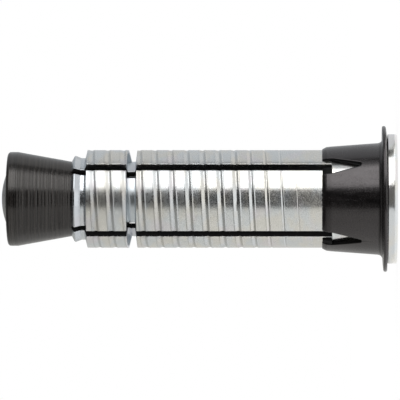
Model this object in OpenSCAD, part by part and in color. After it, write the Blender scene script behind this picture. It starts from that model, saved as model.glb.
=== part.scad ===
// Expansion anchor with an inner thread, standing on its head.
// A bolt through the head pulls the cone nut into four loose segments and spreads them in the drill hole.
// The axis is Z. The head's outer face is at z = 0 and the front segment faces -Y.

/* [Drill hole and bolt] */
// Diameter over the segments, for a drill hole of the same size
sleeve_d = 16; // [15.5:0.5:18]
// Nominal diameter of the bolt that the nut takes
bolt_d = 8; // [6:0.5:8.5]
// Pitch of the bolt's thread
bolt_pitch = 1.25; // [0.75:0.05:1.5]
// Play of the bolt in the head's bore, on the diameter
bolt_play = 0.5; // [0.2:0.1:1]

/* [Head and counter cone] */
// Diameter of the head
head_d = 21.2; // [20:0.1:26]
// Thickness of the head
head_t = 1.55; // [1:0.05:3]
// Rounding of the head's edges
head_edge = 0.4; // [0.1:0.05:0.45]
// Length of the cylinder that carries the collar, from the head to the shoulder
seat_len = 9.1; // [8:0.1:14]
// Diameter of the counter cone at the shoulder
counter_d = 13.8; // [12.5:0.1:14.5]
// Length of the counter cone beyond the shoulder
counter_len = 5; // [2:0.1:8]
// Chamfer at both ends of the head's bore
bore_chamfer = 0.4; // [0.1:0.05:0.6]

/* [Expansion segments] */
// Arc that one segment covers, in degrees
segment_arc = 78; // [70:0.5:80]
// Turn of the front segment away from the front, in degrees
segment_roll = 2.7; // [-10:0.1:10]
// How far the two side segments have slipped towards the front one, in degrees
side_slip = 3.75; // [0:0.25:4]
// Diameter of the hollow between the tapers of the segments
hollow_d = 10; // [9.5:0.1:11]
// Length of the long section, from the shoulder to the ring groove
long_len = 31.85; // [26:0.05:40]
// Length of the ring groove's floor
groove_len = 0.65; // [0.5:0.05:3]
// Depth of the ring groove
groove_depth = 1.9; // [0.5:0.05:2]
// Length of the groove's steep flank, beside the long section
groove_flank_near = 0.25; // [0.1:0.05:1]
// Length of the groove's sloping flank, beside the short section
groove_flank_far = 0.5; // [0.1:0.05:1]
// Length of the short section, from the ring groove to the step
short_len = 6.7; // [4:0.05:12]
// Length of the sloping step down to the neck
step_len = 0.4; // [0.2:0.05:1]
// Wall of the neck at its foot, square to the axis
neck_wall = 0.92; // [0.6:0.02:1.2]
// Length of the neck, from the step to its corner
neck_len = 1.75; // [1:0.05:3]
// Growth of the neck's wall from its foot to its corner
neck_swell = 0.12; // [0:0.01:0.2]
// Length of the chamfer from the neck's corner to its lip
neck_chamfer = 0.45; // [0.3:0.05:0.9]
// Wall left at the neck's lip
neck_lip = 0.1; // [0.05:0.01:0.3]

/* [Ribs] */
// Pitch of the shallow screw-like groove that leaves the ribs standing
rib_pitch = 2.58; // [2:0.02:3.5]
// Width of the groove at the surface
rib_groove_w = 0.95; // [0.5:0.05:1.4]
// Depth of the groove
rib_groove_depth = 0.07; // [0.03:0.01:0.2]
// Length of the groove's flanks along the axis
rib_flank = 0.22; // [0.05:0.01:0.24]
// Distance from the step to the first turn
rib_start = 1; // [0.2:0.05:2.5]
// Number of turns
rib_turns = 14; // [6:1:14]
// Number of turns over which the groove runs out towards the head
rib_runout = 5; // [1:1:6]

/* [Cone nut] */
// Diameter of the nut's wide end
nut_d = 15.4; // [15:0.1:15.8]
// Half angle of the nut's cone and of the counter cone, in degrees
cone_angle = 10; // [8:0.25:11]
// Length of the nut
nut_len = 13.4; // [12:0.1:14.5]
// Length of the plain rim at the wide end
nut_rim = 1.65; // [1:0.05:3]
// Length of the nut inside the neck and the segments
nut_grip = 2.85; // [1.5:0.05:3.5]
// Rounding of the wide end's edge
nut_edge = 0.5; // [0.1:0.05:0.8]
// Chamfer round the nut's small end
nut_nose = 0.25; // [0.1:0.05:0.4]

/* [End plug] */
// Diameter of the plug that closes the thread
plug_d = 9; // [8.8:0.1:10.5]
// Depth of the plug in the nut
plug_depth = 1.2; // [0.6:0.1:3]
// Height of the plug's edge above the nut
plug_edge = 0.1; // [0.05:0.05:0.5]
// Rise of the plug's dome above its edge
plug_rise = 0.95; // [0.3:0.05:1.5]

/* [Plastic collar] */
// Length of the collar over the segments
collar_reach = 1.6; // [1:0.1:4]
// Wall at the collar's front edge
front_wall = 0.12; // [0.1:0.01:0.3]
// Length of the bevel at the collar's front
bevel_len = 1.25; // [0.5:0.05:2]
// Wall where the bevel ends
bevel_wall = 0.52; // [0.4:0.01:0.8]
// Wall where the collar meets its flange
root_wall = 1.15; // [0.9:0.05:1.5]
// Fillet between the collar and its flange
collar_fillet = 0.8; // [0.2:0.05:0.9]
// Diameter of the flange
flange_d = 23.9; // [22.8:0.1:28]
// Thickness of the flange at its root
flange_root_t = 0.85; // [0.75:0.05:1.2]
// Thickness of the flange at its rounded rim
flange_rim_t = 0.6; // [0.3:0.05:0.65]
// Rise of the flange's rim off the head, as the flange is slightly dished
flange_dish = 0.2; // [0:0.05:0.3]
// Turn of the collar against the front segment, in degrees
collar_roll = 2.6; // [-10:0.1:10]
// Number of fingers
finger_count = 4; // [3:1:6]
// Length of the notches between the fingers
notch_len = 6.45; // [3:0.05:8]
// Width of the notches at the collar's front edge
notch_mouth = 4; // [2:0.1:5]
// Width of the notches at their blunt end
notch_tip = 0.65; // [0.2:0.05:1]
// Share of a notch's mouth that the lug on one finger's side closes
lug_share = 0.41; // [0.1:0.01:0.5]

/* [Fits] */
// Gap between the cones and the tapers of the segments, on the radius
cone_gap = 0.03; // [0.01:0.01:0.1]
// Gap between the collar and what it holds, on the radius
collar_gap = 0.05; // [0.02:0.01:0.1]
// Gap between the plug and the nut, on the radius
plug_gap = 0.02; // [0.01:0.01:0.05]

/* [Hidden] */
$fn = 96;
front = -90;

sleeve_r = sleeve_d / 2;
head_bore_r = (bolt_d + bolt_play) / 2;
thread_r = (bolt_d - bolt_pitch) / 2;
taper = tan(cone_angle);
shoulder_z = head_t + seat_len;

// Heights along a segment, from the shoulder
groove_z = long_len + groove_flank_near;
short_z = groove_z + groove_len + groove_flank_far;
step_z = short_z + short_len;
neck_z = step_z + step_len;
corner_z = neck_z + neck_len;
segment_len = corner_z + neck_chamfer;

// The nut's cone, whose radius at a height follows from its wide end
nut_cone_len = nut_len - nut_rim;
nut_small_r = nut_d / 2 - nut_cone_len * taper;
nut_z = segment_len - nut_grip;
function counter_radius(z) = counter_d / 2 - z * taper;
function nut_radius(z) = nut_small_r + (z - nut_z) * taper;

// Where the segments' tapers reach the hollow
hollow_r = hollow_d / 2;
taper_near_z = (counter_d / 2 + cone_gap - hollow_r) / taper;
taper_far_z = nut_z + (hollow_r - cone_gap - nut_small_r) / taper;

// Turn of each segment about the axis
segment_turns = [
    front - segment_roll,
    front - segment_roll + 90 - side_slip,
    front - segment_roll + 180,
    front - segment_roll - 90 + side_slip
];

collar_bore_r = sleeve_r + collar_gap;
collar_front_z = shoulder_z + collar_reach;
flange_z = head_t + flange_root_t;
lug_root_a = 3;
lug_inset = 0.02;
lug_set_back = 0.05;

// Turn of each notch about the axis
notch_turns = [for (i = [0:finger_count - 1])
    front - segment_roll - collar_roll + (i + 0.5) * 360 / finger_count];

rib_tilt = atan(rib_pitch / (2 * PI * sleeve_r));
rib_overcut = 0.1;

// Head, seat and counter cone, turned in one piece
module counter_cone() {
    edge_r = head_d / 2 - head_edge;
    tip_z = shoulder_z + counter_len;
    color("silver") rotate_extrude() difference() {
        union() {
            polygon([
                [0, 0], [edge_r, 0], [head_d / 2, head_edge], [head_d / 2, head_t - head_edge],
                [edge_r, head_t], [sleeve_r, head_t], [sleeve_r, shoulder_z],
                [counter_d / 2, shoulder_z], [counter_radius(counter_len), tip_z], [0, tip_z]
            ]);
            for (z = [head_edge, head_t - head_edge]) translate([edge_r, z]) circle(r = head_edge);
        }
        polygon([
            [-1, -1], [head_bore_r + bore_chamfer + 1, -1], [head_bore_r, bore_chamfer],
            [head_bore_r, tip_z - bore_chamfer], [head_bore_r + bore_chamfer + 1, tip_z + 1],
            [-1, tip_z + 1]
        ]);
    }
}

// Half section of the collar, with its bevel, its flange and the fillet between them
module collar_section() {
    rim_r = flange_rim_t / 2;
    flange_edge_r = flange_d / 2 - rim_r;
    rim_z = head_t + flange_dish;
    root_r = collar_bore_r + root_wall;
    polygon([
        [collar_bore_r, head_t], [root_r, head_t], [flange_edge_r, rim_z],
        [flange_edge_r, rim_z + flange_rim_t], [root_r + collar_fillet, flange_z],
        [root_r, flange_z],
        [collar_bore_r + bevel_wall, collar_front_z - bevel_len],
        [collar_bore_r + front_wall, collar_front_z], [collar_bore_r, collar_front_z]
    ]);
    translate([flange_edge_r, rim_z + rim_r]) circle(r = rim_r);
    difference() {
        translate([root_r - bevel_wall, flange_z - rim_r])
            square([collar_fillet + bevel_wall, collar_fillet + rim_r]);
        translate([root_r + collar_fillet, flange_z + collar_fillet]) circle(r = collar_fillet);
    }
}

// Lug on one side of a finger's tip, a thin wedge over the ends of the segments.
// It stands back a little from the finger's faces, so that none of its own lies in one of theirs.
module finger_lug() {
    inner_r = collar_bore_r + lug_inset;
    finger_a = asin(notch_mouth / 2 / collar_bore_r) + lug_root_a;
    edge_a = asin((0.5 - lug_share) * notch_mouth / collar_bore_r);
    front_z = collar_front_z - lug_set_back;
    rotate([0, 0, -finger_a]) rotate_extrude(angle = finger_a - edge_a) polygon([
        [inner_r, shoulder_z], [collar_bore_r + bevel_wall, shoulder_z],
        [collar_bore_r + front_wall, front_z], [inner_r, front_z]
    ]);
}

// Black plastic collar: a tapered ring that splits into fingers over the ends of the segments
module plastic_collar() {
    reach = flange_d / 2;
    slope = (notch_mouth - notch_tip) / notch_len / 2;
    color([0.11, 0.11, 0.12]) union() {
        difference() {
            rotate_extrude() collar_section();
            for (a = notch_turns) rotate([0, 0, a]) translate([0, 0, collar_front_z])
                rotate([90, 0, 90]) linear_extrude(height = reach) polygon([
                    [-notch_tip / 2, -notch_len], [notch_tip / 2, -notch_len],
                    [notch_mouth / 2 + slope, 1], [-notch_mouth / 2 - slope, 1]
                ]);
        }
        for (a = notch_turns) rotate([0, 0, a]) finger_lug();
    }
}

// Half section of a segment: ribs apart, it is the same all along its arc
module segment_section() {
    floor_r = sleeve_r - groove_depth;
    neck_foot_r = nut_radius(neck_z) + cone_gap + neck_wall;
    lip_r = nut_radius(segment_len) + cone_gap;
    polygon([
        [counter_d / 2 + cone_gap, 0], [sleeve_r, 0], [sleeve_r, long_len],
        [floor_r, groove_z], [floor_r, groove_z + groove_len], [sleeve_r, short_z],
        [sleeve_r, step_z], [neck_foot_r, neck_z],
        [neck_foot_r + neck_len * taper + neck_swell, corner_z],
        [lip_r + neck_lip, segment_len], [lip_r, segment_len],
        [hollow_r, taper_far_z], [hollow_r, taper_near_z]
    ]);
}

// One turn of the rib groove, as a ring tilted by the lead; it gets narrow and shallow as it runs out.
// The flanks go on past the surface, so that they alone cut it.
module rib_turn(i) {
    size = min(1, (rib_turns - i) / rib_runout);
    w = rib_groove_w * size;
    flank = rib_flank * size;
    floor_r = sleeve_r - rib_groove_depth * size;
    past = rib_flank * rib_overcut / rib_groove_depth;
    rotate([rib_tilt, 0, 0]) rotate_extrude() polygon([
        [floor_r, -flank], [sleeve_r + rib_overcut, past], [sleeve_r + 1, past],
        [sleeve_r + 1, -w - past], [sleeve_r + rib_overcut, -w - past], [floor_r, flank - w]
    ]);
}

// One of the four loose segments; the groove climbs by one pitch in a full turn
module expansion_segment(turn) {
    lead = rib_pitch * (turn - front) / 360;
    color("gainsboro") translate([0, 0, shoulder_z]) rotate([0, 0, turn]) difference() {
        rotate([0, 0, -segment_arc / 2]) rotate_extrude(angle = segment_arc) segment_section();
        for (i = [0:rib_turns - 1])
            translate([0, 0, step_z - rib_start - i * rib_pitch + lead]) rib_turn(i);
    }
}

// Nut with a plain bore at the thread's core diameter and a seat for the plug
module cone_nut() {
    rim_r = nut_d / 2;
    seat_z = nut_len - plug_depth;
    seat_r = plug_d / 2 + plug_gap;
    color([0.2, 0.19, 0.19]) translate([0, 0, shoulder_z + nut_z]) rotate_extrude() difference() {
        union() {
            polygon([
                [0, 0], [nut_small_r - nut_nose, 0], [nut_small_r + nut_nose * taper, nut_nose],
                [rim_r, nut_cone_len], [rim_r, nut_len - nut_edge], [rim_r - nut_edge, nut_len],
                [0, nut_len]
            ]);
            translate([rim_r - nut_edge, nut_len - nut_edge]) circle(r = nut_edge);
        }
        polygon([
            [-1, -1], [bolt_d / 2 + 1, -1], [thread_r, bolt_d / 2 - thread_r], [thread_r, seat_z],
            [seat_r, seat_z], [seat_r, nut_len + 1], [-1, nut_len + 1]
        ]);
    }
}

// Domed plug pressed into the nut's wide end, which keeps dust out of the thread
module end_plug() {
    r = plug_d / 2;
    dome_r = (r * r + plug_rise * plug_rise) / (2 * plug_rise);
    body_h = plug_depth + plug_edge;
    color("silver") translate([0, 0, shoulder_z + nut_z + nut_len - plug_depth]) {
        cylinder(r = r, h = body_h);
        intersection() {
            translate([0, 0, body_h + plug_rise - dome_r]) sphere(r = dome_r);
            translate([0, 0, body_h / 2]) cylinder(r = r, h = body_h / 2 + plug_rise);
        }
    }
}

counter_cone();
plastic_collar();
expansion_segment(segment_turns[0]);  // expansion_segment_1
expansion_segment(segment_turns[1]);  // expansion_segment_2
expansion_segment(segment_turns[2]);  // expansion_segment_3
expansion_segment(segment_turns[3]);  // expansion_segment_4
cone_nut();
end_plug();
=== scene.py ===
"""Looks of an expansion anchor that stands on its head: its surfaces, finishes, studio and camera.

The axis is Z. The head rests on z = 0, the cone nut is at the top and the front segment faces -Y.
Sizes in the classes are millimetres; meshes are in metres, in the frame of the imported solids.
"""

import logging
import math
from collections.abc import Sequence
from dataclasses import dataclass
from enum import Enum
from typing import Any

import bmesh
import bpy
import numpy as np
from bpy.types import ID, Material, Mesh, Node, NodeSocket, NodeTree, Object
from mathutils import Matrix, Vector


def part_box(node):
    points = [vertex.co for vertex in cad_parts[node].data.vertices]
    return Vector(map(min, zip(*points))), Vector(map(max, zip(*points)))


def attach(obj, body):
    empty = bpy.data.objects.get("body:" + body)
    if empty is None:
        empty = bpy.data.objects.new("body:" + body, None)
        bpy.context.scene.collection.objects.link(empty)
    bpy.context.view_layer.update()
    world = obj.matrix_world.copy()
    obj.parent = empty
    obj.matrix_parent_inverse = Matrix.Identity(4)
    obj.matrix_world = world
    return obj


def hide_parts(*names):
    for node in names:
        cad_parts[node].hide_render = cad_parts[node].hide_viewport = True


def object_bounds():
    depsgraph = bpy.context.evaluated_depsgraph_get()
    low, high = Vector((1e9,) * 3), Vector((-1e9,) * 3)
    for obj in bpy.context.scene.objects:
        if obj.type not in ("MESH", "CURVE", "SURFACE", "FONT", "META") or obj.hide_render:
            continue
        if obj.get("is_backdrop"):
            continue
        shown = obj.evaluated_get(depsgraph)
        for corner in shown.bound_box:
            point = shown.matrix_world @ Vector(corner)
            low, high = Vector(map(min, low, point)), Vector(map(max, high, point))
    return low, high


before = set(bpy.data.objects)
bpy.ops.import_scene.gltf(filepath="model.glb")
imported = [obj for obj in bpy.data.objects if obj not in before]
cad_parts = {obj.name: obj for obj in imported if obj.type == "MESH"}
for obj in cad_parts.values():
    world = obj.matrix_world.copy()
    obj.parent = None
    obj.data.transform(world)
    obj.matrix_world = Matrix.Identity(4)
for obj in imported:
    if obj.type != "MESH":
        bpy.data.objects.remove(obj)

MM = 0.001
FRONT = math.radians(-90.0)
SHARP = math.radians(40.0)
FINE = 0.05
MERGE = 0.002
BODY = "root"
COOL = (0.97, 1.0, 1.03)
WARM = (1.0, 1.0, 0.965)
WALL_LOW = ((0.7, 0.0), (0.7, 0.115))
WALL_HIGH = ((0.7, 0.115), (0.7, 0.9))
FLOOR_NEAR = ((0.035, 0.0), (0.155, 0.0))
FLOOR_MID = ((0.155, 0.0), (0.3, 0.0))
FLOOR_FAR = ((0.3, 0.0), (0.7, 0.0))
FOOT = ((0.0125, 0.0), (0.03, 0.0), (0.03, 0.0045))

Array = np.ndarray
Inputs = dict[str, Any]
Pair = tuple[float, float]
Colour = tuple[float, float, float]

log = logging.getLogger("anchor")


class Slot(Enum):
    """Names of the record's material slots."""

    ZINC = "zinc_plated_steel"
    BLACK_STEEL = "blackened_steel"
    BRIGHT_STEEL = "bright_steel"
    PLASTIC = "black_plastic"


def unit(v: Array) -> Array:
    """Scales each row of v to length 1."""
    return v / np.linalg.norm(v, axis=-1, keepdims=True)


def ramp(x: Array) -> Array:
    """Rises smoothly from 0 to 1 as x goes from 0 to 1: three x squared less two x cubed."""
    t = np.clip(x, 0.0, 1.0)
    return t * t * (3.0 - 2.0 * t)


def eased(x: Array) -> Array:
    """Rises from 0 to 1 as x goes from 0 to 1: three quarters straight and one quarter smooth."""
    return 0.75 * np.clip(x, 0.0, 1.0) + 0.25 * ramp(x)


def rounded(corners: Sequence[tuple[float, float, float]], steps: int = 7) -> Array:
    """Rounds the corners of a closed outline.

    At each corner the arc's centre lies on the bisector, at radius / sin(half angle), and the arc
    runs between the two tangent points by spherical interpolation about that centre.

    Args:
        corners: Each corner's radius from the axis, height and rounding, in millimetres.
        steps: Points on each arc.

    Returns:
        The outline as an array of (radius, height), without repeated points.
    """
    points = np.array(corners, float)
    here = points[:, :2]
    back = unit(np.roll(here, 1, 0) - here)
    ahead = unit(np.roll(here, -1, 0) - here)
    half = np.arccos(np.clip((back * ahead).sum(1), -1.0, 1.0)) / 2
    size = np.maximum(points[:, 2], 1e-7)
    centre = here + unit(back + ahead) * (size / np.sin(half))[:, None]
    start = here + back * (size / np.tan(half))[:, None] - centre
    end = here + ahead * (size / np.tan(half))[:, None] - centre
    turn = (math.pi - 2 * half)[:, None, None]
    s = np.linspace(0.0, 1.0, steps)[None, :, None]
    arcs = centre[:, None] + (
        np.sin((1 - s) * turn) * start[:, None] + np.sin(s * turn) * end[:, None]
    ) / np.sin(turn)
    outline = arcs.reshape(-1, 2)
    apart = np.linalg.norm(outline - np.roll(outline, 1, 0), axis=1) > 1e-4
    return outline[apart]


def refined(outline: Array, spacing: float, closed: bool = True) -> Array:
    """Adds points along an outline wherever two neighbours are more than the spacing apart.

    Args:
        outline: Points of (radius, height).
        spacing: Largest distance between neighbours.
        closed: Whether the last point joins the first.

    Returns:
        The refined outline, worked out by linear interpolation over the length along it.
    """
    path = np.vstack([outline, outline[:1]]) if closed else outline
    along = np.concatenate([[0.0], np.cumsum(np.linalg.norm(np.diff(path, axis=0), axis=1))])
    extra = np.arange(0.0, along[-1], spacing)
    gap = np.abs(extra[:, None] - along[None, :]).min(1)
    at = np.sort(np.concatenate([along, extra[gap > 0.3 * spacing]]))
    fine = np.stack([np.interp(at, along, path[:, 0]), np.interp(at, along, path[:, 1])], 1)
    return fine[:-1] if closed else fine


def grid_faces(rows: int, columns: int, rows_close: bool, columns_close: bool) -> Array:
    """Quads of a grid of vertices numbered row by row.

    Args:
        rows: Number of rows.
        columns: Number of columns.
        rows_close: Whether the last row joins the first.
        columns_close: Whether the last column joins the first.

    Returns:
        Vertex numbers, four to a quad, ordered row by row.
    """
    i = np.arange(rows if rows_close else rows - 1)[:, None]
    j = np.arange(columns if columns_close else columns - 1)[None, :]
    below, above = i, (i + 1) % rows
    left, right = j, (j + 1) % columns
    quads = np.stack(
        [below * columns + left, below * columns + right,
         above * columns + right, above * columns + left], -1
    )
    return quads.reshape(-1, 4)


def box_of(node: str) -> tuple[Array, Array]:
    """Lowest and highest corner of a CAD node's box, in millimetres."""
    low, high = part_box(node)
    return np.array(low) / MM, np.array(high) / MM


def steps_round(sides: int) -> Array:
    """Angles of equal steps once round the axis, as a row."""
    return np.arange(sides)[None, :] * math.tau / sides


def polar(radius: Array, angle: Array, height: Array) -> Array:
    """Points at a radius and an angle about the axis and a height, as an array of (x, y, z)."""
    r, a, z = np.broadcast_arrays(radius, angle, height)
    return np.stack([r * np.cos(a), r * np.sin(a), z], -1).reshape(-1, 3)


def make_piece(
    name: str,
    points: Array,
    faces: list[Sequence[int]],
    finishes: list[Material],
    nodes: list[str],
    finish_of_face: Array | None = None,
    merge: bool = False,
) -> Object:
    """Makes a smooth mesh piece that stands for some CAD nodes and rides on the anchor's body.

    Args:
        name: The piece's name.
        points: Vertices in millimetres.
        faces: Vertex numbers of each face.
        finishes: Materials, in the order that finish_of_face counts them.
        nodes: CAD nodes that the piece replaces.
        finish_of_face: The material's number for each face, or None where there is one.
        merge: Whether vertices that nearly meet are merged.

    Returns:
        The new object.
    """
    mesh = bpy.data.meshes.new(name)
    mesh.from_pydata((points * MM).tolist(), [], [list(f) for f in faces])
    for finish in finishes:
        mesh.materials.append(finish)
    if finish_of_face is not None:
        mesh.polygons.foreach_set("material_index", finish_of_face.astype(np.int32))
    if merge:
        weld(mesh, MERGE * MM)
    mesh.validate()
    mesh.shade_smooth()
    mesh.set_sharp_from_angle(angle=SHARP)
    piece = linked(name, mesh)
    piece.modifiers.new("face_weighted_normals", "WEIGHTED_NORMAL").weight = 100
    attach(piece, BODY)
    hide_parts(*nodes)
    log.info("%s: %d faces", name, len(mesh.polygons))
    return piece


def linked(name: str, data: ID) -> Object:
    """Makes an object of some data and links it to the scene."""
    made = bpy.data.objects.new(name, data)
    bpy.context.scene.collection.objects.link(made)
    return made


def weld(mesh: Mesh, distance: float) -> None:
    """Merges vertices nearer than a distance and turns all faces outwards."""
    work = bmesh.new()
    work.from_mesh(mesh)
    bmesh.ops.remove_doubles(work, verts=work.verts, dist=distance)
    bmesh.ops.recalc_face_normals(work, faces=work.faces)
    work.to_mesh(mesh)
    work.free()


def revolve(outline: Array, sides: int, closed: bool = True) -> tuple[Array, Array]:
    """Turns an outline about the axis: radius and height stay, the angle goes round once.

    Args:
        outline: Points of (radius, height), with the solid on the left as the outline runs.
        sides: Steps round the axis.
        closed: Whether the outline's last point joins the first.

    Returns:
        The vertices and the quads.
    """
    points = polar(outline[:, :1], steps_round(sides), outline[:, 1:])
    return points, grid_faces(len(outline), sides, closed, True)


class Value:
    """A shader socket that takes part in sums and products as a number does."""

    def __init__(self, graph: "Graph", socket: NodeSocket) -> None:
        """Wraps a socket of a graph."""
        self.graph = graph
        self.socket = socket

    def math(self, operation: str, *others: "Value | float") -> "Value":
        """Adds a Math node with this value first."""
        return self.graph.math(operation, self, *others)

    def __add__(self, other: "Value | float") -> "Value":
        """Sum."""
        return self.math("ADD", other)

    __radd__ = __add__

    def __mul__(self, other: "Value | float") -> "Value":
        """Product."""
        return self.math("MULTIPLY", other)

    __rmul__ = __mul__

    def __sub__(self, other: "Value | float") -> "Value":
        """Difference."""
        return self.math("SUBTRACT", other)

    def __rsub__(self, other: float) -> "Value":
        """Difference with this value last."""
        return self.graph.math("SUBTRACT", other, self)

    def above(self, low: float, high: float) -> "Value":
        """Rises from 0 to 1 as this value goes from low to high."""
        node = self.graph.node(
            "ShaderNodeMapRange",
            {"clamp": True, "interpolation_type": "SMOOTHSTEP"},
            {"Value": self, "From Min": low, "From Max": high},
        )
        return Value(self.graph, node.outputs["Result"])


class Graph:
    """A material's or the world's node tree, built by expressions."""

    def __init__(self, tree: NodeTree) -> None:
        """Empties a node tree and takes it over."""
        self.tree = tree
        tree.nodes.clear()

    def node(
        self, kind: str, settings: dict[str, Any] | None = None, inputs: dict[Any, Any] | None = None
    ) -> Node:
        """Adds a node of any type.

        Args:
            kind: The node's type.
            settings: Attributes, which are set first.
            inputs: Values, or links to other sockets, by the input's name or number.

        Returns:
            The node.
        """
        made = self.tree.nodes.new(kind)
        for key, value in (settings or {}).items():
            setattr(made, key, value)
        for key, value in (inputs or {}).items():
            if isinstance(value, Value):
                self.tree.links.new(value.socket, made.inputs[key])
            elif isinstance(value, NodeSocket):
                self.tree.links.new(value, made.inputs[key])
            else:
                made.inputs[key].default_value = value
        return made

    def math(self, operation: str, *terms: "Value | float") -> Value:
        """Adds a Math node over the terms."""
        node = self.node("ShaderNodeMath", {"operation": operation}, dict(enumerate(terms)))
        return Value(self, node.outputs[0])

    def position(self) -> NodeSocket:
        """The point's place in the anchor's frame, in millimetres."""
        return self.scaled(self.node("ShaderNodeTexCoord").outputs["Object"], (1.0 / MM,) * 3)

    def noise(
        self, where: NodeSocket, size: float, detail: float = 2.0, roughness: float = 0.5
    ) -> Value:
        """Noise whose blotches are about size millimetres across, from 0 to 1."""
        node = self.node(
            "ShaderNodeTexNoise", {},
            {"Vector": where, "Scale": 1.0 / size, "Detail": detail, "Roughness": roughness},
        )
        return Value(self, node.outputs["Fac"])

    def scaled(self, where: NodeSocket, by: Sequence[float]) -> NodeSocket:
        """The place with each of its coordinates scaled."""
        node = self.node("ShaderNodeVectorMath", {"operation": "MULTIPLY"}, {0: where, 1: tuple(by)})
        return node.outputs[0]

    def height(self, where: NodeSocket) -> Value:
        """The place's height along the axis."""
        return Value(self, self.node("ShaderNodeSeparateXYZ", {}, {0: where}).outputs["Z"])

    def varied(self, mean: float, *parts: tuple[Value, float]) -> Value:
        """A mean that noises from 0 to 1 move up and down, each by half of its share."""
        total = parts[0][0] * parts[0][1]
        for noise, share in parts[1:]:
            total = total + noise * share
        return total + (mean - sum(share for _, share in parts) / 2)

    def mix(self, factor: Value, low: Colour, high: Colour) -> NodeSocket:
        """A colour between two, by a factor."""
        return self.blend(factor, (*low, 1.0), high)

    def blend(
        self, factor: Value, low: NodeSocket | Sequence[float], high: Colour
    ) -> NodeSocket:
        """A colour between one that may itself vary and a fixed one, by a factor."""
        inputs = {0: factor, 6: low, 7: (*high, 1.0)}
        return self.node("ShaderNodeMix", {"data_type": "RGBA"}, inputs).outputs[2]

    def bump(self, height: Value, depth: float) -> NodeSocket:
        """A bumped normal, where height 1 stands depth millimetres above height 0."""
        node = self.node(
            "ShaderNodeBump", {}, {"Strength": 1.0, "Distance": depth * MM, "Height": height}
        )
        return node.outputs["Normal"]


def new_material(name: str) -> tuple[Material, Graph]:
    """A new material with nodes, and the graph that fills it."""
    material = bpy.data.materials.new(name)
    material.use_nodes = True
    return material, Graph(material.node_tree)


@dataclass(frozen=True)
class Finish:
    """A material that ends in a Principled shader, whose inputs each kind of finish states."""

    name: str

    def inputs(self, g: Graph, where: NodeSocket) -> Inputs:
        """The shader's fixed and varying inputs, from the place in millimetres."""
        raise NotImplementedError

    def build(self) -> Material:
        """Makes the material."""
        material, g = new_material(self.name)
        shader = g.node("ShaderNodeBsdfPrincipled", {}, self.inputs(g, g.position()))
        g.node("ShaderNodeOutputMaterial", {}, {"Surface": shader.outputs[0]})
        return material


@dataclass(frozen=True)
class ZincPlate(Finish):
    """Zinc plating with a soft shine: finely mottled, with streaks round the axis and faint tints."""

    name: str = "zinc_plate"
    cool: Colour = (0.745, 0.77, 0.775)
    warm: Colour = (0.79, 0.775, 0.725)
    pink: Colour = (0.785, 0.755, 0.77)
    grain: float = 0.18
    grain_depth: float = 0.003
    streak: float = 0.18
    streak_depth: float = 0.5
    roughness: float = 0.24
    dull_gain: float = 0.0
    dull_range: Pair = (18.0, 46.0)
    tint_size: float = 2.2
    tint_range: Pair = (0.4, 0.62)
    blush_range: Pair = (0.52, 0.7)
    blush_share: float = 0.7

    def inputs(self, g: Graph, where: NodeSocket) -> Inputs:
        """Mottle, cloud and tints; the streaks are noise stretched ten times across the axis."""
        dull = g.height(where).above(*self.dull_range) * self.dull_gain
        round_axis = g.scaled(where, (0.1, 0.1, 1.0))
        tint = g.noise(g.scaled(where, (0.5, 0.5, 1.0)), self.tint_size)
        blush = g.noise(where, self.tint_size * 1.7, 1.0)
        mottle = g.noise(where, self.grain, 3.0, 0.65)
        cloud = g.noise(where, self.grain * 4)
        streak = g.noise(round_axis, self.streak)
        base = g.mix(tint.above(*self.tint_range), self.cool, self.warm)
        blushed = blush.above(*self.blush_range) * self.blush_share
        return {
            "Metallic": 1.0,
            "Base Color": g.blend(blushed, base, self.pink),
            "Roughness": g.varied(self.roughness, (mottle, 0.2), (cloud, 0.12)) + dull,
            "Normal": g.bump(mottle + streak * self.streak_depth, self.grain_depth),
        }


@dataclass(frozen=True)
class ShadedInnerSkin(Finish):
    """Inner and cut faces of the segments: thin, dull plating, painted near black as the shade in the
    hollow and the slots.
    """

    name: str = "shaded_inner_skin"
    # Near-black colours: painted shade of the hollow and the slots.
    colour: Colour = (0.016, 0.016, 0.017)
    light: Colour = (0.03, 0.03, 0.03)
    roughness: float = 0.7

    def inputs(self, g: Graph, where: NodeSocket) -> Inputs:
        """Noise in colour and gloss."""
        blot = g.noise(where, 0.8, 3.0)
        return {
            "Specular IOR Level": 0.15,
            "Base Color": g.mix(blot, self.colour, self.light),
            "Roughness": g.varied(self.roughness, (blot, 0.2)),
        }


@dataclass(frozen=True)
class BlackSteel(Finish):
    """Black phosphate over fine turning marks, which ring the axis."""

    name: str = "black_phosphate"
    dark: Colour = (0.004, 0.0036, 0.0035)
    light: Colour = (0.033, 0.028, 0.0255)
    roughness: float = 0.2
    mark: float = 0.35
    mark_depth: float = 0.045
    worn_range: Pair = (0.3, 0.75)

    def inputs(self, g: Graph, where: NodeSocket) -> Inputs:
        """The marks depend on the height alone, so that they are rings."""
        marks = g.node(
            "ShaderNodeTexNoise",
            {"noise_dimensions": "1D"},
            {"W": g.height(where), "Scale": 1.0 / self.mark, "Detail": 3.0, "Roughness": 0.6},
        )
        rings = Value(g, marks.outputs["Fac"])
        blot = g.noise(where, 0.25, 3.0)
        worn = (rings * 0.7 + blot * 0.3).above(*self.worn_range)
        return {
            "Specular IOR Level": 0.8,
            "Specular Tint": (1.0, 0.97, 0.94, 1.0),
            "Base Color": g.mix(worn, self.dark, self.light),
            "Roughness": g.varied(self.roughness, (rings, 0.16), (blot, 0.1)),
            "Normal": g.bump(rings + blot * 0.2, self.mark_depth),
        }


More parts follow.
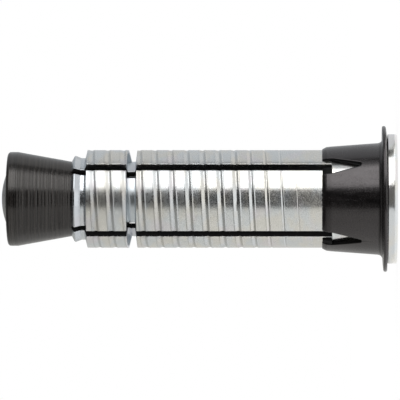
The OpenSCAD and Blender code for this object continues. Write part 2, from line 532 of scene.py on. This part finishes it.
@dataclass(frozen=True)
class BrightSteel(Finish):
    """Smooth, bright steel of the end plug."""

    name: str = "bright_plug"
    colour: Colour = (0.34, 0.34, 0.335)
    stain: Colour = (0.17, 0.17, 0.17)
    stain_range: Pair = (0.45, 0.7)
    roughness: float = 0.325
    skin_depth: float = 0.006

    def inputs(self, g: Graph, where: NodeSocket) -> Inputs:
        """Noise in colour and gloss."""
        blot = g.noise(where, 0.9, 3.0)
        fine = g.noise(where, 0.2)
        return {
            "Metallic": 1.0,
            "Base Color": g.mix(blot.above(*self.stain_range), self.colour, self.stain),
            "Roughness": g.varied(self.roughness, (fine, 0.15)),
            "Normal": g.bump(fine, self.skin_depth),
        }


@dataclass(frozen=True)
class BlackPlastic(Finish):
    """Satin moulded plastic, nearly black, with a fine skin and faint flow streaks along the axis."""

    name: str = "black_plastic"
    dark: Colour = (0.001, 0.001, 0.001)
    light: Colour = (0.0075, 0.0055, 0.0052)
    roughness: float = 0.24
    skin: float = 0.25
    skin_depth: float = 0.006

    def inputs(self, g: Graph, where: NodeSocket) -> Inputs:
        """Noise in colour and gloss."""
        streak = g.noise(g.scaled(where, (1.0, 1.0, 0.2)), 0.8, 3.0)
        skin = g.noise(where, self.skin)
        return {
            "Specular IOR Level": 0.95,
            "Specular Tint": (1.0, 0.94, 0.955, 1.0),
            "Base Color": g.mix(streak, self.dark, self.light),
            "Roughness": g.varied(self.roughness, (skin, 0.2), (streak, 0.2)),
            "Normal": g.bump(skin, self.skin_depth),
        }


@dataclass(frozen=True)
class TornPlastic(Finish):
    """Dull black plastic of the notches' cut faces and of the lugs beside them."""

    name: str = "torn_plastic"
    dark: Colour = (0.001, 0.001, 0.001)
    light: Colour = (0.004, 0.004, 0.004)
    roughness: float = 0.6
    grain: float = 0.25
    grain_depth: float = 0.02

    def inputs(self, g: Graph, where: NodeSocket) -> Inputs:
        """Noise in colour and gloss."""
        grain = g.noise(where, self.grain, 3.0)
        return {
            "Specular IOR Level": 0.2,
            "Base Color": g.mix(grain, self.dark, self.light),
            "Roughness": g.varied(self.roughness, (grain, 0.2)),
            "Normal": g.bump(grain, self.grain_depth),
        }


@dataclass(frozen=True)
class Cones:
    """The taper that the nut, the counter cone and the segments share."""

    angle: float = 10.0
    gap: float = 0.03

    @property
    def taper(self) -> float:
        """Growth of the radius for each millimetre along the axis."""
        return math.tan(math.radians(self.angle))


@dataclass
class Head:
    """Head disc, seat and counter cone, turned in one piece, with a bore for the bolt."""

    cones: Cones
    finish: Material
    thickness: float = 1.55
    seat_len: float = 9.1
    seat_d: float = 16.0
    counter_d: float = 13.8
    bore_d: float = 8.5
    bore_chamfer: float = 0.4
    edge: float = 0.28
    back_edge: float = 0.1
    spacing: float = 0.5
    sides: int = 192

    def build(self) -> Object:
        """Turns the outline, with every corner rounded."""
        low, high = box_of("counter_cone")
        rim = high[0]
        shoulder = self.thickness + self.seat_len
        nose = self.counter_d / 2 - (high[2] - shoulder) * self.cones.taper
        bore, cut = self.bore_d / 2, self.bore_chamfer
        outline = rounded([
            (bore + cut, low[2], FINE), (rim, low[2], self.edge),
            (rim, self.thickness, self.back_edge), (self.seat_d / 2, self.thickness, FINE),
            (self.seat_d / 2, shoulder, FINE), (self.counter_d / 2, shoulder, FINE),
            (nose, high[2], FINE), (bore + cut, high[2], FINE),
            (bore, high[2] - cut, FINE), (bore, low[2] + cut, FINE),
        ])
        points, faces = revolve(refined(outline, self.spacing), self.sides)
        return make_piece(
            "flanged_counter_cone", points, faces, [self.finish], ["counter_cone"]
        )


@dataclass
class Segments:
    """Four loose segments: necked shells with a ring groove and a shallow screw-like rib groove."""

    cones: Cones
    outside: Material
    shaded_inside: Material
    groove_finish: Material
    neck_finish: Material
    arc: float = 77.0
    roll: float = 2.7
    side_slip: float = 3.75
    diameter: float = 16.0
    hollow_d: float = 10.0
    counter_d: float = 13.8
    long_len: float = 31.85
    groove_len: float = 0.65
    groove_depth: float = 1.9
    near_flank: float = 0.25
    far_flank: float = 0.5
    end_flank: float = 0.15
    end_set_back: float = 0.6
    groove_pinch: float = 1.6
    side_start: float = 0.12
    side_ramp: float = 0.3
    steep_segment: int = 1
    short_len: float = 6.78
    step_len: float = 0.32
    neck_wall: float = 0.92
    neck_len: float = 1.75
    neck_swell: float = 0.12
    neck_lip: float = 0.1
    nut_d: float = 15.4
    nut_rim: float = 1.65
    rib_pitch: float = 2.58
    rib_start: float = 0.82
    rib_turns: int = 14
    rib_runout: int = 5
    rib_shape: tuple[Pair, ...] = (
        (-0.2, 0.0), (-0.08, 0.025), (0.54, -0.085), (0.6, -0.085), (1.0, 0.035), (1.22, 0.0),
    )
    dent_z: float = 26.2
    dent_turn: float = -9.0
    dent_depth: float = 0.05
    dent_len: float = 0.16
    dent_width: float = 0.7
    edge: float = 0.07
    edge_share: float = 0.4
    sunk_edge: float = 0.02
    columns: int = 54
    inner_columns: int = 14
    steps: int = 5
    row_step: float = 0.05

    def build(self) -> list[Object]:
        """Makes the four segments, each at its own turn about the axis."""
        slip = [0.0, 90 - self.side_slip, 180.0, self.side_slip - 90]
        return [
            self.segment(i + 1, FRONT + math.radians(turn - self.roll))
            for i, turn in enumerate(slip)
        ]

    def outline(self, low: float, high: float) -> tuple[Array, Array, Array]:
        """Outer and inner radius at each row's height, without the ring groove.

        Args:
            low: Height of the end on the shoulder.
            high: Height of the lip.

        Returns:
            Heights, outer radii and inner radii.
        """
        r, taper, gap = self.diameter / 2, self.cones.taper, self.cones.gap
        rim_z = box_of("cone_nut")[1][2] - self.nut_rim
        step = low + self.step_height()
        neck = step + self.step_len
        corner = neck + self.neck_len

        def nut_radius(z: float) -> float:
            """Radius of the nut's cone at a height."""
            return self.nut_d / 2 - (rim_z - z) * taper

        foot = nut_radius(neck) + gap + self.neck_wall
        lip = nut_radius(high) + gap
        waist = foot + 0.01, neck + 0.7
        loop = rounded([
            (0.0, low, 0.0), (r, low, 0.08), (r, step, 0.08), (foot, neck, 0.12), (*waist, 0.5),
            (foot + self.neck_len * taper + self.neck_swell, corner, 0.25),
            (lip + self.neck_lip, high, 0.04), (0.0, high, 0.0),
        ])
        outer = loop[loop[:, 0] > lip - 2 * gap]
        rows = np.arange(low, high, self.row_step)
        heights = np.unique(np.round(np.concatenate([rows, outer[:, 1]]), 4))
        outer = outer[np.argsort(outer[:, 1])]
        inner = np.maximum.reduce([
            np.full_like(heights, self.hollow_d / 2),
            self.counter_d / 2 + gap - (heights - low) * taper,
            self.nut_d / 2 + gap - (rim_z - heights) * taper,
        ])
        return heights, np.interp(heights, outer[:, 1], outer[:, 0]), inner

    def groove(self, above: Array, share: Array) -> Array:
        """Depth of the ring groove, from 0 on the plain surface to 1 on the floor.

        It is the lesser of two straight ramps, eased. The near wall is steep. The far wall slopes
        at the segment's middle, and is steep and set back towards the cut faces.

        Args:
            above: Heights above the shoulder.
            share: Turns from the segment's middle, where 1 is at the cut faces.

        Returns:
            The share of the groove's depth.
        """
        side = ramp((share - self.side_start) / self.side_ramp)
        foot = self.long_len + self.near_flank + self.groove_len + side * self.end_set_back
        flank = self.far_flank + side * (self.end_flank - self.far_flank)
        near = (above - self.long_len) / self.near_flank
        return eased(np.minimum(near, 1.0 - (above - foot) / flank))

    def rib_height(self, z: Array, angle: Array, first: float) -> Array:
        """Height of the rolled rib pattern over the plain surface.

        A single-start right-hand screw: the turn number is the drop below the first turn's upper
        edge, which climbs one pitch in a full turn, over the pitch. Within a turn the height goes
        from knot to knot of rib_shape by eased ramps, over a lip, the groove and a second lip.
        The last turns get shallow and narrow.

        Args:
            z: Heights along the axis.
            angle: Angles about the axis.
            first: Height of the first turn's upper edge at the front.

        Returns:
            The height, in millimetres, below 0 in the groove.
        """
        lead = self.rib_pitch * (angle - FRONT) / math.tau
        before = -self.rib_shape[0][0]
        turn = (first + lead + before - z) / self.rib_pitch
        number = np.floor(turn)
        size = np.clip((self.rib_turns - number) / self.rib_runout, 0.0, 1.0) * (number >= 0)
        into = ((turn - number) * self.rib_pitch - before) / np.maximum(size, 1e-6)
        height = np.zeros(into.shape)
        for (s0, h0), (s1, h1) in zip(self.rib_shape[:-1], self.rib_shape[1:]):
            height = height + (h1 - h0) * eased((into - s0) / (s1 - s0))
        return height * size

    def dent(self, z: Array, angle: Array) -> Array:
        """Depth of a small knock on the front segment: a bell that is narrow along the axis."""
        along = (z - self.dent_z) / self.dent_len
        arc = (angle - FRONT - math.radians(self.dent_turn)) * self.diameter / 2
        across = arc / self.dent_width
        return self.dent_depth * np.exp(-(along**2) - across**4)

    def segment(self, number: int, turn: float) -> Object:
        """Makes one segment.

        Each row is a closed loop at one height: the outer arc, a rounded edge, the radial cut
        face, the inner arc and back. Rows are stacked along the axis and capped at both ends.

        Args:
            number: The segment's number.
            turn: Angle of its middle about the axis.

        Returns:
            The piece.
        """
        node = f"expansion_segment_{number}"
        low, high = (c[2] for c in box_of(node))
        heights, outer, inner = self.outline(low, high)
        z, plain, inner = heights[:, None], outer[:, None], inner[:, None]
        share = np.abs(np.linspace(-1.0, 1.0, self.columns))[None, :]
        sunk = self.groove(z - low, share + float(number == self.steep_segment))
        outer = plain - self.groove_depth * sunk[:, :1]
        half = math.radians(self.arc / 2) - math.radians(self.groove_pinch) * sunk[:, :1]
        edge = np.minimum(self.edge, self.edge_share * (outer - inner))
        bend = np.linspace(0.0, math.pi / 2, self.steps)[None, :]
        across = np.linspace(0.0, 1.0, self.steps)[None, 1:-1]
        outer_angle = np.linspace(-1.0, 1.0, self.columns)[None, :] * (half - edge / outer)
        inner_angle = np.linspace(1.0, -1.0, self.inner_columns)[None, :] * (half - edge / inner)
        first = low + self.step_height() - self.rib_start
        cut = self.dent(z, turn + outer_angle) - self.rib_height(z, turn + outer_angle, first)
        side = half + 0 * across
        face_r = (outer - edge) * (1 - across) + (inner + edge) * across
        round_out = half - edge / outer * (1 - np.sin(bend)), outer - edge * (1 - np.cos(bend))
        round_in = half - edge / inner * (1 - np.cos(bend)), inner + edge * (1 - np.sin(bend))
        angle = np.hstack([
            outer_angle, round_out[0][:, 1:], side, round_in[0][:, :-1], inner_angle,
            -round_in[0][:, -2::-1], -side, -round_out[0][:, :0:-1],
        ])
        radius = np.hstack([
            plain - self.groove_depth * sunk - cut,
            round_out[1][:, 1:] - cut[:, -1:], face_r, round_in[1][:, :-1],
            inner + 0 * inner_angle, round_in[1][:, -2::-1], face_r[:, ::-1],
            round_out[1][:, :0:-1] - cut[:, :1],
        ])
        rows, columns = angle.shape
        points = polar(radius, turn + angle, z)
        quads = grid_faces(rows, columns, False, True)
        column = np.arange(columns)
        shaded_inside = (column >= self.columns + self.steps - 2) & (column < columns - self.steps)
        necked = z[1:] > low + self.step_height()
        plate = np.select([sunk[1:, :1] > self.sunk_edge, necked], [2, 3], 0)
        caps = [list(range(columns))[::-1], list(range((rows - 1) * columns, rows * columns))]
        # Inner and cut faces take the near-black inner finish, which is painted shade.
        kinds = np.concatenate([np.where(shaded_inside[None, :], 1, plate).ravel(), [1, 0]])
        finishes = [self.outside, self.shaded_inside, self.groove_finish, self.neck_finish]
        return make_piece(
            f"segment_{number}", points, [*quads, *caps], finishes, [node], kinds
        )

    def step_height(self) -> float:
        """Height of the step above the shoulder."""
        return (
            self.long_len + self.near_flank + self.groove_len + self.far_flank + self.short_len
        )


@dataclass
class Nut:
    """Cone nut with a threaded bore and a seat for the plug."""

    cones: Cones
    finish: Material
    rim: float = 1.65
    edge: float = 0.5
    nose: float = 0.25
    bolt_d: float = 8.0
    pitch: float = 1.25
    plug_d: float = 9.04
    plug_depth: float = 1.2
    sides: int = 192
    ring_depth: float = 0.008
    ring_step: float = 0.11
    ring_seed: int = 7
    thread_share: float = 0.54
    tooth_gain: float = 1.6
    tooth_flat: float = 0.3

    def build(self) -> Object:
        """Turns the outline; the bore's wall carries the thread and the cone fine turned rings."""
        low, high = box_of("cone_nut")
        wide, bottom, top = high[0], low[2], high[2]
        small = wide - (top - self.rim - bottom) * self.cones.taper
        core = (self.bolt_d - self.pitch) / 2
        lead_in = self.bolt_d / 2 - core
        seat = top - self.plug_depth
        outline = refined(rounded([
            (core + lead_in, bottom, FINE), (small - self.nose, bottom, FINE),
            (small, bottom + self.nose, FINE), (wide, top - self.rim, 0.3),
            (wide, top, self.edge), (self.plug_d / 2, top, 0.1),
            (self.plug_d / 2, seat, 0.03), (core, seat, FINE), (core, bottom + lead_in, FINE),
        ]), self.ring_step)
        angle = steps_round(self.sides)
        r, z = outline[:, :1], outline[:, 1:]
        thread_depth = self.thread_share * self.pitch
        phase = z / self.pitch - angle / math.tau
        wave = np.abs(2 * (phase - np.floor(phase)) - 1)
        tooth = np.clip(self.tooth_gain * wave - self.tooth_flat, 0.0, 1.0)
        on_wall = ramp((z - bottom - lead_in) / 0.5) * ramp((seat - z) / 0.6)
        bored = (np.abs(r - core) < 0.01) * on_wall
        rings = np.random.default_rng(self.ring_seed).uniform(-1.0, 1.0, len(outline))[:, None]
        turned = (r > small + 0.02) * ramp((top - self.edge - z) / 0.4)
        radius = r + bored * tooth * thread_depth + turned * rings * self.ring_depth
        points = polar(radius, angle, z)
        faces = grid_faces(len(outline), self.sides, True, True)
        return make_piece(
            "threaded_cone_nut", points, faces, [self.finish], ["cone_nut"]
        )


@dataclass
class Plug:
    """Domed plug in the nut's wide end."""

    finish: Material
    depth: float = 1.2
    rim: float = 0.1
    spacing: float = 0.4
    dome_steps: int = 24
    sides: int = 96

    def build(self) -> Object:
        """Turns half an outline whose dome is an arc, with its height a square root of the radius."""
        low, high = box_of("end_plug")
        r, rise = high[0], high[2] - low[2] - self.depth - self.rim
        ball = (r * r + rise * rise) / (2 * rise)
        dome_r = np.linspace(r, 0.0, self.dome_steps)
        dome_z = high[2] - ball + np.sqrt(ball**2 - dome_r**2)
        dome = np.stack([dome_r, dome_z], 1)
        foot = np.array([[0.0, low[2]], [r - self.rim, low[2]], [r, low[2] + self.rim]])
        outline = refined(np.vstack([foot, dome]), self.spacing, closed=False)
        points, faces = revolve(outline, self.sides, closed=False)
        return make_piece(
            "domed_end_plug", points, faces, [self.finish], ["end_plug"],
            merge=True,
        )


@dataclass
class Collar:
    """Black plastic collar: a tapered ring with a dished flange and four fingers with V notches."""

    finish: Material
    cut_finish: Material
    head_t: float = 1.55
    seat_len: float = 9.1
    bore_r: float = 8.05
    front_wall: float = 0.12
    bevel_len: float = 1.25
    bevel_wall: float = 0.52
    root_wall: float = 1.15
    fillet: float = 0.8
    root_t: float = 0.85
    rim_t: float = 0.6
    dish: float = 0.2
    warp: float = 0.14
    roll: float = 5.3
    fingers: int = 4
    notch_len: float = 6.45
    notch_mouth: float = 4.0
    notch_tip: float = 0.65
    lug_share: float = 0.41
    lug_columns: int = 9
    lug_knee: Pair = (0.3, 0.6)
    bevel_ease: float = 0.2
    bevel_end: Pair = (0.1, 0.025)
    step_top: Pair = (0.66, 0.085)
    step_foot: Pair = (0.6, 0.11)
    spacing: float = 0.35
    row_power: float = 1.6
    columns: int = 72
    rows: int = 60

    def build(self) -> Object:
        """Makes one finger with its share of the ring and its lug, repeats them and welds the rings.

        Columns spread over the finger's arc: a full quarter below the notches, and above less by
        the notch's half width over the radius, which grows only up to the seat's end. Outer and
        inner rows above the notches' ends share their heights, with the cut faces between them.
        """
        low, high = box_of("plastic_collar")
        outline, first = self.section(low, high)
        tip = high[2] - self.notch_len
        r, z = outline[:, :1], outline[:, 1:]
        above = np.clip(z - tip, 0.0, self.head_t + self.seat_len - tip)
        flare = (self.notch_mouth - self.notch_tip) / self.notch_len / 2
        start = np.clip(above / (self.notch_tip / 2), 0.0, 1.0)
        half_notch = flare * above + self.notch_tip / 2 * np.sqrt(start * (2 - start))
        half = math.pi / self.fingers - np.arcsin(half_notch / r)
        angle = np.linspace(-1.0, 1.0, self.columns)[None, :] * half
        rows, columns = len(outline), self.columns
        k = np.arange(self.rows - 1)
        out_lo, out_hi = (first + k) * columns, (first + k + 1) * columns
        in_lo, in_hi = (rows - 1 - k) * columns, (rows - 2 - k) * columns
        last = columns - 1
        ring_faces = np.vstack([
            grid_faces(rows, columns, True, False),
            np.stack([out_lo, out_hi, in_hi, in_lo], 1),
            np.stack([out_lo, in_lo, in_hi, out_hi], 1) + last,
        ])
        lug_points, lug_faces = self.lug(high[2])
        turns = FRONT - math.radians(self.roll) + steps_round(self.fingers)[0]
        ring = np.vstack([polar(r, angle + t, z) for t in turns])
        lugs = np.vstack([
            polar(lug_points[:, 0], lug_points[:, 1] + t, lug_points[:, 2]) for t in turns
        ])
        out = np.hypot(ring[:, 0], ring[:, 1])
        root = self.bore_r + self.root_wall + self.fillet
        reach = np.clip((out - root) / (high[0] - root), 0.0, 1.0)
        ring[:, 2] += self.warp * reach**1.5 * ring[:, 0] / out
        faces = np.vstack([ring_faces + i * rows * columns for i in range(self.fingers)]).tolist()
        cut = np.arange(len(ring_faces)) >= rows * (columns - 1)
        for i in range(self.fingers):
            base = len(ring) + i * len(lug_points)
            faces += [[base + v for v in f] for f in lug_faces]
        kinds = np.concatenate([np.tile(cut, self.fingers), np.ones(self.fingers * len(lug_faces))])
        return make_piece(
            "notched_collar", np.vstack([ring, lugs]), faces, [self.finish, self.cut_finish],
            ["plastic_collar"], kinds, merge=True,
        )

    def section(self, low: Array, high: Array) -> tuple[Array, int]:
        """Half section of the collar.

        Args:
            low: Lowest corner of the collar's box, in millimetres.
            high: Highest corner.

        Returns:
            The closed outline, from the bore's lower part round the flange and up the outside to
            the front and down the bore, and the number of its first row above the notches' ends.
        """
        edge_r, front = high[0], high[2]
        tip = front - self.notch_len
        root_r = self.bore_r + self.root_wall
        bevel_r = self.bore_r + self.bevel_wall
        root_z = self.head_t + self.root_t
        bevel_z = front - self.bevel_len
        slope = (root_r - bevel_r) / (bevel_z - root_z)
        rim_z, round_rim = low[2] + self.dish, self.rim_t / 2 - 0.02
        loop = rounded([
            (self.bore_r, low[2], 0.03), (root_r, low[2], 0.3), (edge_r, rim_z, round_rim),
            (edge_r, rim_z + self.rim_t, round_rim), (root_r, root_z, self.fillet),
            (root_r - slope * (tip - root_z), tip, 0.0), (self.bore_r, tip, 0.0),
        ])
        lower = loop[(loop[:, 1] < tip - 1e-3) & (loop[:, 0] > self.bore_r + 1e-3)]
        bore = [[self.bore_r, tip - 0.5], [self.bore_r, low[2] + 0.03]]
        lower = refined(np.vstack([bore, lower]), self.spacing, closed=False)
        rise = np.linspace(0.0, 1.0, self.rows)[:, None] ** self.row_power * self.notch_len + tip
        ease = self.bevel_ease
        knots = np.array([
            [root_z, root_r], [bevel_z - ease, bevel_r + ease * slope - 0.005],
            [bevel_z + self.bevel_end[0], bevel_r - self.bevel_end[1]],
            [front - self.step_top[0], bevel_r - self.step_top[1]],
            [front - self.step_foot[0], bevel_r - self.step_foot[1]],
            [front, self.bore_r + self.front_wall - 0.04],
        ])
        outer = np.hstack([np.interp(rise, knots[:, 0], knots[:, 1]), rise])
        inner = np.hstack([np.full_like(rise, self.bore_r), rise])[::-1]
        return np.vstack([lower, outer, inner]), len(lower)

    def lug(self, front: float) -> tuple[Array, list[list[int]]]:
        """The wedge beside a finger's tip: a small rounded section swept about the axis.

        Args:
            front: Height of the collar's front edge.

        Returns:
            Points as (radius, angle from the finger's middle, height), and the faces.
        """
        shoulder = self.head_t + self.seat_len
        inner, thick, top = self.bore_r + 0.02, self.bore_r + self.bevel_wall - 0.03, front - 0.05
        knee_r, knee_z = self.bore_r + self.lug_knee[0], front - self.lug_knee[1]
        outline = refined(rounded([
            (inner, shoulder, 0.01), (thick, shoulder, 0.06), (knee_r, knee_z, 0.1),
            (inner + 0.04, top, 0.01), (inner, top, 0.01),
        ], 4), 0.3)
        quarter = math.pi / self.fingers
        mouth = math.asin(self.notch_mouth / 2 / self.bore_r)
        free = math.asin((0.5 - self.lug_share) * self.notch_mouth / self.bore_r)
        angle = np.linspace(quarter - mouth - 0.05, quarter - free, self.lug_columns)
        r, a, z = np.broadcast_arrays(outline[:, 0], angle[:, None], outline[:, 1])
        points = np.stack([r, a, z], -1).reshape(-1, 3)
        count, rings = len(outline), len(angle)
        faces = grid_faces(rings, count, False, True).tolist()
        faces += [list(range(count)), list(range((rings - 1) * count, rings * count))[::-1]]
        return points, faces


@dataclass(frozen=True)
class Card:
    """A card swept round the axis between two turns, given in degrees from the front towards +X.

    Its section is a row of points, each a radius and a height in metres. It stands up where the
    radii are the same and lies flat where the heights are.
    """

    name: str
    start: float
    end: float
    section: tuple[Pair, ...]
    shade: float
    tint: Colour = (1.0, 1.0, 1.0)


@dataclass
class Studio:
    """Pale floor, white surroundings, a soft lamp on one side and cards that only the gloss sees."""

    floor_size: float = 1.2
    floor_glow: float = 1.13
    floor_share: float = 0.8
    floor_drop: float = 0.00002
    sky: float = 0.55
    lamp_radiance: float = 1.75
    lamp_size: Pair = (0.6, 0.12)
    lamp_distance: float = 0.65
    lamp_turn: float = 49.0
    cards: tuple[Card, ...] = (
        Card("front_dark", -21, 24.6, ((0.7, 0.0), (0.7, 0.9)), 0.02),
        Card("left_grey", -105, -21, WALL_LOW, 0.85, WARM),
        Card("left_upper", -105, -21, WALL_HIGH, 0.33, WARM),
        Card("rear_left_grey", -180, -105, WALL_LOW, 0.66, WARM),
        Card("rear_left_upper", -180, -105, WALL_HIGH, 0.46, WARM),
        Card("right_grey", 76, 180, WALL_LOW, 0.61, COOL),
        Card("right_middle", 76, 180, ((0.7, 0.115), (0.7, 0.16)), 0.64, COOL),
        Card("right_upper", 76, 180, ((0.7, 0.16), (0.7, 0.9)), 0.44, COOL),
        Card("light_middle", 24.6, 76, ((0.7, 0.12), (0.7, 0.2)), 1.8),
        Card("light_high", 24.6, 76, ((0.7, 0.2), (0.7, 0.3)), 1.7),
        Card("light_upper", 24.6, 76, ((0.7, 0.3), (0.7, 0.6)), 0.3),
        Card("front_ceiling", -100, 110, ((0.3, 0.69), (0.7, 0.69)), 0.04),
        Card("ceiling", -180, 180, ((0.12, 0.7), (0.7, 0.7)), 0.3),
        Card("ceiling_dark", -180, 180, ((0, 0.7), (0.12, 0.7)), 0.05),
        Card("rear_dark", 170, 187, ((0.3, 0.68), (0.62, 0.68)), 0.03),
        Card("side_dark", 83, 92, ((0.12, 0.0), (0.12, 0.095)), 0.05),
        Card("floor_near_left", -105, -21, FLOOR_NEAR, 0.85),
        Card("floor_near_rear_left", -180, -105, FLOOR_NEAR, 0.76),
        Card("floor_near_light", 24.6, 76, FLOOR_NEAR, 0.8),
        Card("floor_near_right", 76, 180, FLOOR_NEAR, 0.68),
        Card("floor_mid_dark", -21, 26, FLOOR_MID, 0.01),
        Card("floor_mid_left", -105, -21, FLOOR_MID, 0.27),
        Card("floor_mid_light", 26, 73, FLOOR_MID, 1.5),
        Card("floor_mid_rear_left", -180, -105, FLOOR_MID, 0.73),
        Card("floor_mid_right", 96, 180, FLOOR_MID, 0.7),
        Card("floor_mid_line", 73, 96, FLOOR_MID, 0.02),
        Card("floor_far_dark", -21, 24.6, FLOOR_FAR, 0.13),
        Card("floor_far_left", -180, -21, FLOOR_FAR, 0.54),
        Card("floor_far_right", 76, 180, FLOOR_FAR, 0.56),
        Card("foot_dark", -12.6, 20.5, FOOT, 0.14),
        Card("foot_light", 22.5, 66, FOOT, 1.7),
        Card("foot_line", 67.5, 83, FOOT, 0.04),
        Card("foot_grey", 84, 180, FOOT, 0.7, COOL),
        Card("foot_pale", -105, -12.6, FOOT, 0.76),
    )
    card_lift: float = 0.0003

    def build(self) -> None:
        """Builds the world, the floor, the lamp and the cards."""
        self.world()
        self.floor()
        self.lamp()
        for card in self.cards:
            self.card(card)

    def shown(self, g: Graph) -> Value:
        """1 for rays from the camera, from gloss and through glass, and 0 for the rest."""
        path = g.node("ShaderNodeLightPath")
        kinds = ("Camera", "Glossy", "Transmission")
        camera, gloss, glass = (Value(g, path.outputs[f"Is {kind} Ray"]) for kind in kinds)
        return g.math("MAXIMUM", g.math("MAXIMUM", camera, gloss), glass)

    def world(self) -> None:
        """White where it is seen, and a plain soft light elsewhere."""
        world = bpy.data.worlds.new("studio")
        bpy.context.scene.world = world
        world.use_nodes = True
        g = Graph(world.node_tree)
        strength = self.shown(g) * (1.0 - self.sky) + self.sky
        sky = g.node("ShaderNodeBackground", {}, {"Color": (1, 1, 1, 1), "Strength": strength})
        g.node("ShaderNodeOutputWorld", {}, {"Surface": sky.outputs[0]})

    def floor(self) -> None:
        """A pale floor that shows white and keeps a soft shadow."""
        material, g = new_material("pale_floor")
        plain = g.node("ShaderNodeBsdfDiffuse", {}, {"Color": (0.9, 0.9, 0.9, 1)})
        glow = g.node("ShaderNodeEmission", {}, {"Color": (1, 1, 1, 1), "Strength": self.floor_glow})
        mixed = g.node(
            "ShaderNodeMixShader", {},
            {0: self.shown(g) * self.floor_share, 1: plain.outputs[0], 2: glow.outputs[0]},
        )
        g.node("ShaderNodeOutputMaterial", {}, {"Surface": mixed.outputs[0]})
        s = self.floor_size
        mesh = bpy.data.meshes.new("floor")
        mesh.from_pydata([(-s, -s, 0), (s, -s, 0), (s, s, 0), (-s, s, 0)], [], [(0, 1, 2, 3)])
        mesh.materials.append(material)
        floor = linked("floor", mesh)
        floor.location.z = -self.floor_drop
        floor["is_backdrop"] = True

    def lamp(self) -> None:
        """A wide, low, soft lamp beside the camera, whose power is pi times radiance times area."""
        wide, high = self.lamp_size
        light = bpy.data.lights.new("soft_lamp", "AREA")
        light.shape = "RECTANGLE"
        light.size, light.size_y = wide, high
        light.energy = math.pi * self.lamp_radiance * wide * high
        lamp = linked("soft_lamp", light)
        turn = FRONT + math.radians(self.lamp_turn)
        reach = Vector((math.cos(turn), math.sin(turn), 0.0)) * self.lamp_distance
        lamp.location = reach + Vector((0.0, 0.0, high / 2))
        lamp.rotation_euler = (-reach).to_track_quat("-Z", "Y").to_euler()
        lamp.visible_camera = False

    def card(self, card: Card) -> None:
        """Puts up a card: its section is swept in an arc round the axis."""
        material, g = new_material(card.name)
        tone = tuple(card.shade * part for part in card.tint)
        glow = g.node("ShaderNodeEmission", {}, {"Color": (*tone, 1), "Strength": 1.0})
        g.node("ShaderNodeOutputMaterial", {}, {"Surface": glow.outputs[0]})
        columns = 2 + int((card.end - card.start) / 3)
        angle = FRONT + np.radians(np.linspace(card.start, card.end, columns))
        edges = np.array(card.section)
        points = polar(edges[:, :1], angle[None, :], edges[:, 1:] + self.card_lift)
        mesh = bpy.data.meshes.new(card.name)
        mesh.from_pydata(points.tolist(), [], grid_faces(len(edges), columns, False, False).tolist())
        mesh.materials.append(material)
        sheet = linked(card.name, mesh)
        for ray in ("camera", "diffuse", "shadow", "transmission", "volume_scatter"):
            setattr(sheet, f"visible_{ray}", False)
        sheet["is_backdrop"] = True


@dataclass
class Camera:
    """The photograph's view: level, square to the axis, with the anchor lying across the picture."""

    pixels: float = 400.0
    sensor: float = 36.0
    pixels_per_mm: float = 6.1
    foot_x: float = 322.5
    zero_x: float = 396.9
    axis_y: float = 198.9
    distance: float = 787.0

    def build(self) -> None:
        """Makes the camera. Its right is -Z and its top is +X, turned to the picture's middle."""
        foot_z = (self.zero_x - self.foot_x) / self.pixels_per_mm
        middle_z = (self.zero_x - self.pixels / 2) / self.pixels_per_mm
        lower = (self.axis_y - self.pixels / 2) / self.pixels_per_mm
        place = Vector((lower, -self.distance, foot_z)) * MM
        ahead = (Vector((lower, 0.0, middle_z)) * MM - place).normalized()
        up = Vector((1.0, 0.0, 0.0))
        right = ahead.cross(up)
        data = bpy.data.cameras.new("camera")
        data.sensor_width = self.sensor
        data.lens = self.pixels_per_mm * self.distance * self.sensor / self.pixels
        data.clip_start, data.clip_end = 0.01, 10.0
        camera = linked("camera", data)
        turn = Matrix((right, up, -ahead)).transposed().to_4x4()
        camera.matrix_world = Matrix.Translation(place) @ turn
        bpy.context.scene.camera = camera


def corners(box: tuple[Vector, Vector]) -> list[list[float]]:
    """A box's two corners as plain lists."""
    return [list(c) for c in box]


def main() -> None:
    """Builds the camera, the studio and the anchor's pieces."""
    logging.basicConfig(level=logging.INFO, format="%(name)s: %(message)s")
    solids = corners(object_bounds())
    bpy.context.scene.view_settings.view_transform = "Standard"
    Camera().build()
    Studio().build()
    zinc = ZincPlate(dull_gain=0.07).build()
    cones = Cones()
    turned = ZincPlate("turned_zinc", roughness=0.17, grain_depth=0.002).build()
    pale, mauve = (0.7, 0.745, 0.775), (0.72, 0.72, 0.755)
    groove = ZincPlate("groove_zinc", pale, pale, mauve, roughness=0.33).build()
    grey, rose = (0.665, 0.7, 0.73), (0.685, 0.685, 0.71)
    neck = ZincPlate("neck_zinc", grey, grey, rose).build()
    Head(cones, turned).build()
    Segments(cones, zinc, ShadedInnerSkin().build(), groove, neck).build()
    Nut(cones, BlackSteel().build()).build()
    Plug(BrightSteel().build()).build()
    Collar(BlackPlastic().build(), TornPlastic().build()).build()
    bpy.context.view_layer.update()
    {"solids": solids, "looks": corners(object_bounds())}


if __name__ == "__main__":
    main()
